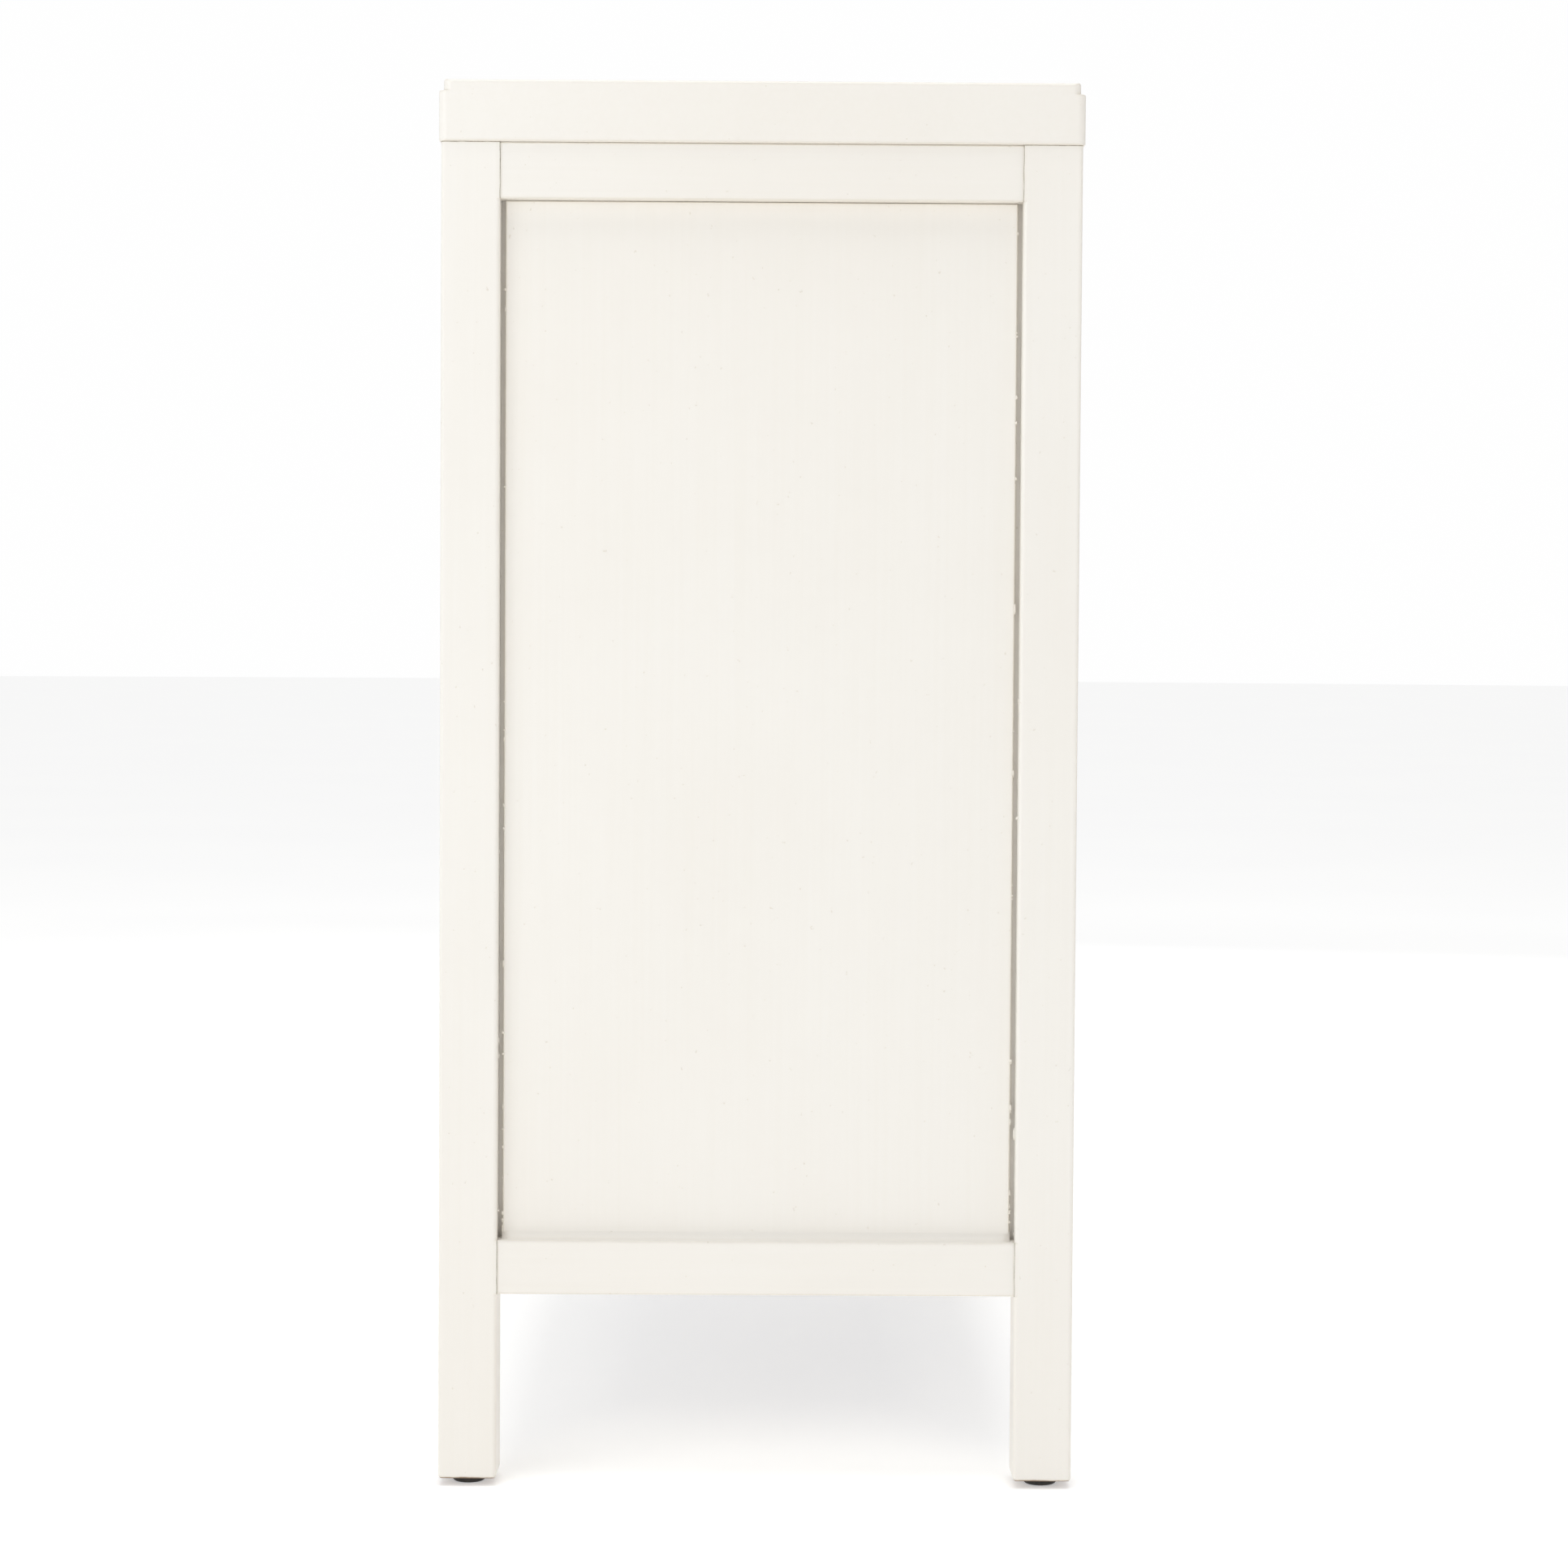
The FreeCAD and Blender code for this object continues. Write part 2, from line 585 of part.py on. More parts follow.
def make_plate(x, z):
    """A pull's turned plate: a bevelled rim, a half-round bead inside it, and a dished middle."""
    plate_front = DRAWER_FACE - PLATE_THICKNESS
    plate = rod((x, plate_front, z - RING_DROP), (0, 1, 0), PLATE_THICKNESS, PLATE_RADIUS)
    rim = [edge for edge in plate.Edges if edge.BoundBox.YMax < plate_front + 0.01]
    plate = plate.makeChamfer(PLATE_BEVEL, rim)
    centre = FreeCAD.Vector(x, plate_front, z - RING_DROP)
    bead_circle = PLATE_RADIUS - PLATE_BEAD_INSET
    plate = plate.fuse(Part.makeTorus(bead_circle, PLATE_BEAD_RADIUS, centre, FreeCAD.Vector(0, 1, 0)))
    ball_radius = (PLATE_DISH_RADIUS ** 2 + PLATE_DISH_DEPTH ** 2) / (2 * PLATE_DISH_DEPTH)
    ball_centre = FreeCAD.Vector(x, plate_front + PLATE_DISH_DEPTH - ball_radius, z - RING_DROP)
    plate = plate.cut(Part.makeSphere(ball_radius, ball_centre, FreeCAD.Vector(0, 1, 0)))
    return plate.cut(rod((x, plate_front, z), (0, 1, 0), PLATE_THICKNESS, EYE_TAIL_RADIUS + HOLE_CLEARANCE))


def make_pull(bay):
    """The fixed part of a pull: its plate, its eye bolt and the nut behind the front."""
    x, z = pin_place(bay)
    plate = make_plate(x, z)
    eye = rod((x - EYE_WIDTH / 2, PIN_Y, z), (1, 0, 0), EYE_WIDTH, EYE_RADIUS)
    eye = eye.fuse(rod((x, PIN_Y, z), (0, 1, 0), FRONT_BACK - PIN_Y - POCKET_CLEARANCE, EYE_TAIL_RADIUS))
    eye = eye.cut(rod((x - EYE_WIDTH, PIN_Y, z), (1, 0, 0), 2 * EYE_WIDTH, RING_PIN_RADIUS + RING_FIT))
    nut_front = FRONT_BACK - NUT_THICKNESS - POCKET_CLEARANCE
    nut = rod((x, nut_front, z), (0, 1, 0), NUT_THICKNESS, NUT_RADIUS)
    nut = nut.cut(rod((x, nut_front, z), (0, 1, 0), NUT_THICKNESS, EYE_TAIL_RADIUS + HOLE_CLEARANCE))
    return [plate, eye, nut]


def make_ring(bay):
    """The loose ring: round wire, closed across the top by a pin between two beads."""
    x, z = pin_place(bay)
    centre = FreeCAD.Vector(x, PIN_Y, z - RING_DROP)
    ring = Part.makeTorus(RING_RADIUS, RING_WIRE_RADIUS, centre, FreeCAD.Vector(0, 1, 0))
    reach = 2 * RING_WIRE_RADIUS
    crown = Block(
        x - RING_HALF_CHORD, x + RING_HALF_CHORD, PIN_Y - reach, PIN_Y + reach, centre.z, z + RING_RADIUS)
    ring = ring.cut(solid(crown))
    ring = ring.fuse(rod((x - RING_HALF_CHORD, PIN_Y, z), (1, 0, 0), 2 * RING_HALF_CHORD, RING_PIN_RADIUS))
    for end in (-RING_HALF_CHORD, RING_HALF_CHORD):
        ring = ring.fuse(Part.makeSphere(RING_BEAD_RADIUS, FreeCAD.Vector(x + end, PIN_Y, z)))
    return ring


# --- Assembly ---

def save_carcass():
    """Write every piece that stands still."""
    corners = {"front_left": (-1, -1), "front_right": (1, -1), "back_left": (-1, 1), "back_right": (1, 1)}
    for name, (side_x, side_y) in corners.items():
        save(f"leg_{name}", [make_leg(side_x, side_y)])
    for wall in WALLS:
        for level in rail_heights():
            save(f"{level}_rail_{wall}", [make_rail(wall, level)])
    for wall in PANELLED_WALLS:
        save(f"panel_{wall}", [make_panel(wall)])
    save("top_board", [make_top()])
    save("bottom_board", [make_bottom_board()])
    save("column_dividers", [make_divider(column) for column in range(COLUMNS - 1)])
    save("row_rails", [make_row_rail(block) for block in row_rail_blocks()])
    runners = [runner for cell in grid() for runner in runner_blocks(*cell)]
    save("drawer_runners", [solid(runner) for runner in runners])
    save("drawer_stops", [solid(stop_block(runner)) for runner in runners])
    save("end_battens", make_battens())
    save("floor_glides", [make_glide(*corner) for corner in corners.values()])
    save("top_screws", [screw_shape(place) for wall in SCREWED_WALLS for place in screw_places(wall)])


def save_drawers():
    """Write the pieces of every drawer and its ring pull."""
    for row, column in grid():
        bay = bay_block(row, column)
        name = f"drawer_r{row + 1}c{column + 1}"
        save(f"{name}_front", [make_front(bay)])
        save(f"{name}_box", make_drawer_box(bay))
        save(f"{name}_pull", make_pull(bay))
        save(f"{name}_ring", [make_ring(bay)])


os.makedirs("parts", exist_ok=True)
save_carcass()
save_drawers()
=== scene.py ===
"""Apothecary cabinet: the finished looks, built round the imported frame.

The frame is in metres: X is the width, the drawers face -Y, Z is up, and the floor is z = 0.
"""
import math
import random

import bmesh
import bpy
from mathutils import Matrix, Vector, noise


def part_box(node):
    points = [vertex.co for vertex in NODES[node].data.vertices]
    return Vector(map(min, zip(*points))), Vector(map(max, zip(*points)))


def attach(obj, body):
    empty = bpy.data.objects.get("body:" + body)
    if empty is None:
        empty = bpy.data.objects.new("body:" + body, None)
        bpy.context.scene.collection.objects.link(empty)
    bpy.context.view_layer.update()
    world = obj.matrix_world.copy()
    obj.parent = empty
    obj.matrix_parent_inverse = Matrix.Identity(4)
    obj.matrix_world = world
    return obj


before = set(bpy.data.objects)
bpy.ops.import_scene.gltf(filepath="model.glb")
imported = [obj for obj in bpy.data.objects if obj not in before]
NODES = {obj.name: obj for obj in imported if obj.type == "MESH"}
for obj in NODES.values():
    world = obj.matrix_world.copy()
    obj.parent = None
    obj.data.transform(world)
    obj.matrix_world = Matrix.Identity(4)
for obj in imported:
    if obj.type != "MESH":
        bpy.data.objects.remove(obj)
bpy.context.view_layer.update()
MM = 0.001
LEG_INNER, LEG_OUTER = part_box("leg_back_right")


# --- Node graphs ---

class Graph:
    """A material's node tree, with short ways to add the nodes that these materials use."""

    def __init__(self, name):
        self.material = bpy.data.materials.new(name)
        self.material.use_nodes = True
        self.tree = self.material.node_tree
        self.tree.nodes.clear()
        self.output = self.tree.nodes.new("ShaderNodeOutputMaterial")

    def put(self, socket, value):
        """Feed a socket from another node's output, or set it."""
        if isinstance(value, bpy.types.NodeSocket):
            self.tree.links.new(value, socket)
        else:
            socket.default_value = value

    def node(self, kind, inputs=None, **settings):
        """A node of a kind, with its settings and inputs."""
        made = self.tree.nodes.new(kind)
        for key, value in settings.items():
            setattr(made, key, value)
        for key, value in (inputs or {}).items():
            self.put(made.inputs[key], value)
        return made

    def coordinates(self, scale=(1, 1, 1)):
        """Object coordinates in metres, scaled."""
        source = self.node("ShaderNodeTexCoord").outputs["Object"]
        return self.node("ShaderNodeMapping", {"Vector": source, "Scale": scale}).outputs["Vector"]

    def facing(self):
        """The X, Y and Z of the object's own normal."""
        normal = self.node("ShaderNodeTexCoord").outputs["Normal"]
        return self.node("ShaderNodeSeparateXYZ", {"Vector": normal}).outputs

    def noise(self, vector, scale, detail=3.0, roughness=0.55, distortion=0.0):
        """Smooth noise between 0 and 1."""
        inputs = {"Vector": vector, "Scale": scale, "Detail": detail, "Roughness": roughness,
                  "Distortion": distortion}
        return self.node("ShaderNodeTexNoise", inputs).outputs["Fac"]

    def remap(self, value, low, high, to_low=0.0, to_high=1.0):
        """A value's range stretched to a new one, with its ends clamped."""
        inputs = {"Value": value, "From Min": low, "From Max": high, "To Min": to_low, "To Max": to_high}
        return self.node("ShaderNodeMapRange", inputs).outputs["Result"]

    def mix(self, factor, first, second):
        """A colour between two others."""
        made = self.node("ShaderNodeMix", data_type="RGBA")
        self.put(made.inputs["Factor"], factor)
        self.put(made.inputs[6], first)
        self.put(made.inputs[7], second)
        return made.outputs[2]

    def math(self, operation, first, second=0.0):
        """One sum on two values."""
        made = self.node("ShaderNodeMath", operation=operation)
        self.put(made.inputs[0], first)
        self.put(made.inputs[1], second)
        return made.outputs[0]

    def bump(self, height, distance, normal=None):
        """A normal bent by a height, whose full range is a distance in metres."""
        inputs = {"Height": height, "Distance": distance, "Strength": 1.0}
        if normal is not None:
            inputs["Normal"] = normal
        return self.node("ShaderNodeBump", inputs).outputs["Normal"]

    def edges(self, radius):
        """A mask that is 1 on arrises within a radius, and 0 on flat faces."""
        rounded = self.node("ShaderNodeBevel", {"Radius": radius}, samples=4).outputs["Normal"]
        flat = self.node("ShaderNodeNewGeometry").outputs["Normal"]
        dot = self.node("ShaderNodeVectorMath", operation="DOT_PRODUCT")
        self.put(dot.inputs[0], rounded)
        self.put(dot.inputs[1], flat)
        return self.remap(dot.outputs["Value"], 0.995, 0.86)

    def surface(self, colour, roughness, normal, **fixed):
        """The finished material, with a principled shader. Fixed values stay on the shader's own sockets."""
        inputs = {"Base Color": colour, "Roughness": roughness, "Normal": normal}
        self.shader = self.node("ShaderNodeBsdfPrincipled", inputs)
        for key, value in fixed.items():
            self.shader.inputs[key.replace("_", " ")].default_value = value
        self.tree.links.new(self.shader.outputs["BSDF"], self.output.inputs["Surface"])
        return self.material


def rgb(red, green, blue):
    """A colour given as it looks on screen, from 0 to 255, made linear for the shader."""
    def linear(value):
        value /= 255
        return value / 12.92 if value <= 0.04045 else ((value + 0.055) / 1.055) ** 2.4
    return (linear(red), linear(green), linear(blue), 1.0)


def along(axis, lengthways, across):
    """A scale that draws texture out along one axis."""
    return tuple(lengthways if name == axis else across for name in "xyz")


# --- Materials ---

def lacquer(axis, handled=False, fresh=False):
    """Cream satin lacquer, brushed along an axis, thin on its arrises, and darkened with painted shade where
    it faces down.

    The wood is bare at the bottom edge of the feet. A handled face is stained about its middle, round its
    pull. Fresh lacquer, as in a corner that nothing rubs, has no worn arrises.
    """
    g = Graph(f"lacquer_{axis}" + ("_handled" if handled else "") + ("_fresh" if fresh else ""))
    place = g.coordinates()
    clouds = g.noise(place, 3.2, 3.0, 0.5)
    colour = g.mix(g.remap(clouds, 0.36, 0.64), rgb(248, 244, 237), rgb(246, 241, 233))
    strokes = g.noise(g.coordinates(along(axis, 4.0, 260.0)), 1.0, 3.0, 0.6, 0.4)
    colour = g.mix(g.remap(strokes, 0.35, 0.7, 0.0, 0.06), colour, rgb(232, 224, 207))
    # painted shade: surfaces that face down are blended towards grey-brown, standing in for the shade
    # beneath them
    painted_underside_shade = g.remap(g.facing()["Z"], -0.50, -0.05, 0.28, 0.0)
    colour = g.mix(painted_underside_shade, colour, rgb(176, 164, 142))
    grime = g.noise(place, 46.0, 4.0, 0.62)
    arris = 0.0 if fresh else g.edges(2.6 * MM)
    thin = g.math("MULTIPLY", arris, g.remap(grime, 0.30, 0.70, 0.10, 0.34))
    colour = g.mix(thin, colour, rgb(206, 190, 158))
    chipped = g.remap(g.noise(place, 150.0, 3.0, 0.6), 0.70, 0.715)
    chipped = g.math("MULTIPLY", chipped, g.remap(arris, 0.35, 0.6))
    colour = g.mix(g.math("MULTIPLY", chipped, 0.8), colour, rgb(170, 140, 100))
    worn = g.math("MAXIMUM", g.math("MULTIPLY", arris, g.remap(grime, 0.52, 0.72)), chipped)
    specks = g.remap(g.noise(place, 310.0, 2.0, 0.5), 0.74, 0.775)
    colour = g.mix(g.math("MULTIPLY", specks, 0.26), colour, rgb(205, 192, 166))
    if handled:
        across_face = g.node("ShaderNodeTexCoord").outputs["Generated"]
        middle = g.node("ShaderNodeMapping", {"Vector": across_face, "Location": (-0.5, 0.0, -0.5)})
        flat = g.node("ShaderNodeVectorMath", {0: middle.outputs["Vector"], 1: (1.0, 0.0, 1.0)},
                      operation="MULTIPLY").outputs["Vector"]
        reach = g.node("ShaderNodeVectorMath", {0: flat}, operation="LENGTH").outputs["Value"]
        stain = g.math("MULTIPLY", g.remap(reach, 0.10, 0.26, 1.0, 0.0), g.remap(grime, 0.35, 0.7, 0.3, 1.0))
        colour = g.mix(g.math("MULTIPLY", stain, 0.30), colour, rgb(222, 208, 178))
    height = g.node("ShaderNodeSeparateXYZ", {"Vector": place}).outputs["Z"]
    ragged_height = g.math("ADD", height, g.remap(grime, 0.3, 0.7, -0.5 * MM, 0.5 * MM))
    bare = g.remap(ragged_height, LEG_INNER.z + 0.3 * MM, LEG_INNER.z + 1.1 * MM, 1.0, 0.0)
    colour = g.mix(bare, colour, rgb(126, 98, 66))
    grain = g.noise(g.coordinates(along(axis, 9.0, 170.0)), 1.0, 4.0, 0.6, 0.8)
    peel = g.noise(place, 520.0, 2.0, 0.5)
    normal = g.bump(strokes, 0.05 * MM)
    normal = g.bump(grain, 0.045 * MM, normal)
    normal = g.bump(peel, 0.022 * MM, normal)
    normal = g.bump(specks, 0.10 * MM, normal)
    normal = g.bump(g.math("SUBTRACT", 1.0, chipped), 0.12 * MM, normal)
    gloss = g.remap(g.noise(place, 17.0, 4.0, 0.6), 0.3, 0.7, 0.32, 0.44)
    gloss = g.math("ADD", gloss, g.math("MULTIPLY", worn, 0.18))
    return g.surface(colour, gloss, normal, Coat_Weight=0.12, Coat_Roughness=0.28)


def joint_grime_and_shade():
    """The dull grey-brown inside a cracked joint: partly grime, and partly painted shade in the crack. It
    also colours the painted shadow line under the top board.
    """
    g = Graph("joint_grime_and_shade")
    dust = g.noise(g.coordinates(), 900.0, 3.0, 0.6)
    colour = g.mix(g.remap(dust, 0.3, 0.7), rgb(128, 120, 104), rgb(168, 160, 142))
    gloss = g.remap(dust, 0.3, 0.7, 0.75, 0.9)
    return g.surface(colour, gloss, g.bump(dust, 0.05 * MM))


def bare_wood(name, light, dark, rings=9.0):
    """Planed wood: growth rings drawn out along the grain, pores, and a waxed sheen.

    The grain runs front to back, and across the width on boards that face the front or the back.
    """
    g = Graph(name)
    crosswise = g.math("GREATER_THAN", g.math("ABSOLUTE", g.facing()["Y"]), 0.7)

    def grain(lengthways, across):
        """Object coordinates drawn out along the grain of whichever board this is."""
        made = g.node("ShaderNodeMix", data_type="VECTOR")
        g.put(made.inputs["Factor"], crosswise)
        g.put(made.inputs[4], g.coordinates(along("y", lengthways, across)))
        g.put(made.inputs[5], g.coordinates(along("x", lengthways, across)))
        return made.outputs[1]

    drift = g.noise(grain(0.7, 9.0), 1.0, 2.0, 0.5, 0.25)
    bands = g.math("FRACT", g.math("MULTIPLY", drift, rings))
    bands = g.remap(g.math("ABSOLUTE", g.math("SUBTRACT", bands, 0.5)), 0.05, 0.5)
    fibres = g.noise(grain(3.0, 420.0), 1.0, 3.0, 0.6)
    bands = g.math("MULTIPLY", bands, g.remap(fibres, 0.3, 0.7, 0.7, 1.0))
    colour = g.mix(bands, light, dark)
    pores = g.remap(g.noise(grain(22.0, 900.0), 1.0, 3.0, 0.6), 0.56, 0.74)
    colour = g.mix(g.math("MULTIPLY", pores, 0.45), colour, rgb(104, 72, 40))
    patches = g.noise(g.coordinates(), 6.0, 3.0, 0.6)
    colour = g.mix(g.remap(patches, 0.35, 0.75, 0.0, 0.22), colour, rgb(150, 112, 68))
    normal = g.bump(pores, 0.12 * MM)
    normal = g.bump(bands, 0.05 * MM, normal)
    gloss = g.remap(bands, 0.0, 1.0, 0.52, 0.64)
    return g.surface(colour, gloss, normal)


def aged_brass():
    """Brass gone brown in its hollows, rubbed bright on its edges, with fine scratches."""
    g = Graph("aged_brass")
    tarnish = g.remap(g.noise(g.coordinates(), 150.0, 5.0, 0.65), 0.36, 0.66)
    rubbed = g.edges(0.7 * MM)
    colour = g.mix(tarnish, rgb(191, 152, 86), rgb(128, 92, 50))
    colour = g.mix(g.math("MULTIPLY", rubbed, 0.7), colour, rgb(214, 182, 118))
    scratches = g.noise(g.coordinates((2600.0, 300.0, 300.0)), 1.0, 3.0, 0.6)
    normal = g.bump(scratches, 0.02 * MM)
    normal = g.bump(tarnish, 0.05 * MM, normal)
    gloss = g.remap(tarnish, 0.0, 1.0, 0.26, 0.52)
    return g.surface(colour, gloss, normal, Metallic=1.0)


def glide_plastic():
    """Dark moulded plastic with patches of dust and fine scuffs."""
    g = Graph("glide_plastic")
    dust = g.remap(g.noise(g.coordinates(), 330.0, 4.0, 0.6), 0.42, 0.75)
    colour = g.mix(g.math("MULTIPLY", dust, 0.5), rgb(27, 23, 20), rgb(84, 78, 70))
    scuffs = g.noise(g.coordinates((500.0, 500.0, 2500.0)), 1.0, 4.0, 0.6)
    normal = g.bump(scuffs, 0.08 * MM)
    gloss = g.remap(dust, 0.0, 1.0, 0.38, 0.66)
    return g.surface(colour, gloss, normal)


def zinc_steel():
    """Zinc-plated screw steel with a mottled passivated skin."""
    g = Graph("zinc_steel")
    mottle = g.noise(g.coordinates(), 700.0, 4.0, 0.6)
    colour = g.mix(g.remap(mottle, 0.35, 0.7), rgb(176, 176, 172), rgb(139, 137, 130))
    normal = g.bump(mottle, 0.03 * MM)
    gloss = g.remap(mottle, 0.3, 0.7, 0.30, 0.46)
    return g.surface(colour, gloss, normal, Metallic=1.0)


# --- Stage, light and camera ---

FLOOR_RADIUS = 40.0
FLOOR_GLOW_NEAR = 0.42
FLOOR_GLOW_FAR = 0.60
FLOOR_GLOW_UNDER = 0.66  # share of the glow that is left under the cabinet
SHADE_REACH = 0.02  # how far the dimmer floor reaches outside the legs
SHADE_SLOPES = {"right": 1.5, "left": 4.0, "side": 2.5}
SHADE_SIDE_LEAD = 0.12
WHITE = (1.0, 1.0, 1.0, 1.0)
SHADE_BLUE = (0.80, 0.86, 1.0, 1.0)


def paper_floor():
    """A pale floor that glows a little, as a white sweep does, and least under the cabinet, where the
    dimmer, bluer glow is a painted shadow.
    """
    g = Graph("paper_floor")
    place = g.coordinates()
    tone = g.noise(place, 1.5, 3.0, 0.5)
    colour = g.mix(g.remap(tone, 0.3, 0.7), rgb(246, 246, 246), rgb(249, 249, 248))
    roughness = g.remap(tone, 0.3, 0.7, 0.85, 0.95)
    split = g.node("ShaderNodeSeparateXYZ", {"Vector": place}).outputs
    # painted shadow: a mask that rises from just outside the legs to full strength under the middle of the
    # cabinet
    from_right = g.math("MULTIPLY", g.math("SUBTRACT", LEG_OUTER.x, split["X"]), SHADE_SLOPES["right"])
    from_left = g.math("MULTIPLY", g.math("ADD", LEG_OUTER.x, split["X"]), SHADE_SLOPES["left"])
    from_side = g.math("SUBTRACT", LEG_OUTER.y, g.math("ABSOLUTE", split["Y"]))
    from_side = g.math("ADD", g.math("MULTIPLY", from_side, SHADE_SLOPES["side"]), SHADE_SIDE_LEAD)
    inside = g.math("MINIMUM", g.math("MINIMUM", from_right, from_left), from_side)
    under = g.remap(inside, -SHADE_REACH, LEG_OUTER.x)
    distance = g.node("ShaderNodeVectorMath", {0: place}, operation="LENGTH").outputs["Value"]
    glow = g.remap(distance, 1.0, 4.5, FLOOR_GLOW_NEAR, FLOOR_GLOW_FAR)
    # the glow is dimmed and tinted blue under the cabinet to paint its shadow on the floor
    glow = g.math("MULTIPLY", glow, g.remap(under, 0.0, 1.0, 1.0, FLOOR_GLOW_UNDER))
    paper = g.surface(colour, roughness, g.bump(tone, 0.1 * MM), Specular_IOR_Level=0.1)
    g.put(g.shader.inputs["Emission Color"], g.mix(under, WHITE, SHADE_BLUE))
    g.put(g.shader.inputs["Emission Strength"], glow)
    return paper


def make_floor():
    """A round floor, wide enough to reach past the edge of every view."""
    mesh = bpy.data.meshes.new("floor")
    shape = bmesh.new()
    bmesh.ops.create_circle(shape, cap_ends=True, radius=FLOOR_RADIUS, segments=96)
    shape.to_mesh(mesh)
    shape.free()
    floor = bpy.data.objects.new("floor", mesh)
    bpy.context.collection.objects.link(floor)
    mesh.materials.append(paper_floor())


WORLD_LIGHT = 0.355
WORLD_SEEN = 0.995
CABINET_MIDDLE = Vector((0.0, 0.0, 0.45))


def make_world():
    """Even white light from all round, in front of a backdrop that looks plain white."""
    world = bpy.data.worlds.new("studio")
    world.use_nodes = True
    tree = world.node_tree
    seen = tree.nodes.new("ShaderNodeLightPath").outputs["Is Camera Ray"]
    strength = tree.nodes.new("ShaderNodeMapRange")
    strength.inputs["To Min"].default_value = WORLD_LIGHT
    strength.inputs["To Max"].default_value = WORLD_SEEN
    background = tree.nodes["Background"]
    background.inputs["Color"].default_value = WHITE
    tree.links.new(seen, strength.inputs["Value"])
    tree.links.new(strength.outputs["Result"], background.inputs["Strength"])
    bpy.context.scene.world = world


def softbox(name, place, size, power, colour=(1.0, 1.0, 1.0)):
    """A square softbox that faces the middle of the cabinet and doesn't show itself."""
    data = bpy.data.lights.new(name, "AREA")
    data.size = size
    data.energy = power
    data.color = colour
    lamp = bpy.data.objects.new(name, data)
    lamp.location = place
    lamp.rotation_mode = "QUATERNION"
    lamp.rotation_quaternion = (CABINET_MIDDLE - Vector(place)).to_track_quat("-Z", "Y")
    lamp.visible_camera = False
    bpy.context.collection.objects.link(lamp)


def make_lights():
    """One large softbox for each side, strongest for the right end, and a stronger one overhead."""
    softbox("end_box", (2.3, -1.5, 1.35), 2.0, 18.5, (0.93, 0.97, 1.0))
    softbox("front_box", (-0.9, -3.1, 1.8), 2.2, 6.0)
    softbox("left_box", (-3.1, 0.8, 1.6), 2.2, 11.0)
    softbox("back_box", (0.9, 3.1, 1.8), 2.2, 7.5, (1.0, 0.97, 0.92))
    softbox("overhead", (0.3, 0.0, 3.0), 2.4, 40.0)


CAMERA_DISTANCE = 2.30
CAMERA_HEIGHT = 0.5353
CAMERA_OFF_CENTRE = 0.0054
CAMERA_YAW = math.radians(0.26)
CAMERA_PITCH = math.radians(2.33)
CAMERA_ROLL = math.radians(0.36)
FOCAL_LENGTH = 84.93


def make_camera():
    """A long lens square on to the right-hand end, a little above the middle, tipped slightly down."""
    end_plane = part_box("leg_front_right")[1].x
    ahead = Vector((-math.cos(CAMERA_YAW), math.sin(CAMERA_YAW), 0.0))
    right = Vector((math.sin(CAMERA_YAW), math.cos(CAMERA_YAW), 0.0))
    up = Vector((0.0, 0.0, 1.0))
    aim = ahead * math.cos(CAMERA_PITCH) - up * math.sin(CAMERA_PITCH)
    top = up * math.cos(CAMERA_PITCH) + ahead * math.sin(CAMERA_PITCH)
    rolled_right = right * math.cos(CAMERA_ROLL) + top * math.sin(CAMERA_ROLL)
    rolled_top = top * math.cos(CAMERA_ROLL) - right * math.sin(CAMERA_ROLL)
    turn = Matrix((rolled_right, rolled_top, -aim)).transposed().to_4x4()
    place = Vector((end_plane + CAMERA_DISTANCE, CAMERA_OFF_CENTRE, CAMERA_HEIGHT))
    data = bpy.data.cameras.new("camera")
    data.lens = FOCAL_LENGTH
    data.sensor_width = 36.0
    data.clip_end = 200.0
    camera = bpy.data.objects.new("camera", data)
    bpy.context.collection.objects.link(camera)
    camera.matrix_world = Matrix.Translation(place) @ turn
    bpy.context.scene.camera = camera


# --- The four walls, in their own terms ---

WALLS = {"left": ("x", -1), "right": ("x", 1), "front": ("y", -1), "back": ("y", 1)}
RAIL_ARRIS = 1.5 * MM
PANELLED_WALLS = ("left", "right", "back")
PANEL_GAP = 3.0 * MM


def wall_point(wall, along, depth, height):
    """A point given along a wall, in from its legs' outer faces, and up."""
    axis, side = WALLS[wall]
    if axis == "x":
        return Vector((side * (LEG_OUTER.x - depth), along, height))
    return Vector((along, side * (LEG_OUTER.y - depth), height))


def half_clear(wall):
    """Half the clear length between a wall's two legs."""
    return LEG_INNER.y if WALLS[wall][0] == "x" else LEG_INNER.x


def face_depth(wall, node):
    """How far the outer face of a node lies in from the faces of the legs."""
    axis, side = WALLS[wall]
    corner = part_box(node)[1 if side > 0 else 0]
    return getattr(LEG_OUTER, axis) - abs(getattr(corner, axis))


def arris_drop(from_edge, radius):
    """How far a rounded arris has fallen away, at a distance from its edge."""
    inside = max(radius - from_edge, 0.0)
    return radius - math.sqrt(radius ** 2 - inside ** 2)


# --- Pieces of mesh ---

def loft(shape, rings, dark_band=None):
    """A closed skin over a row of matching rings. The faces of a dark band get the second material."""
    loops = [[shape.verts.new(point) for point in ring] for ring in rings]
    for first, second in zip(loops, loops[1:]):
        for i in range(len(first)):
            j = (i + 1) % len(first)
            face = shape.faces.new((first[i], first[j], second[j], second[i]))
            if dark_band is not None and i in dark_band:
                face.material_index = 1
    shape.faces.new(loops[0][::-1])
    shape.faces.new(loops[-1])


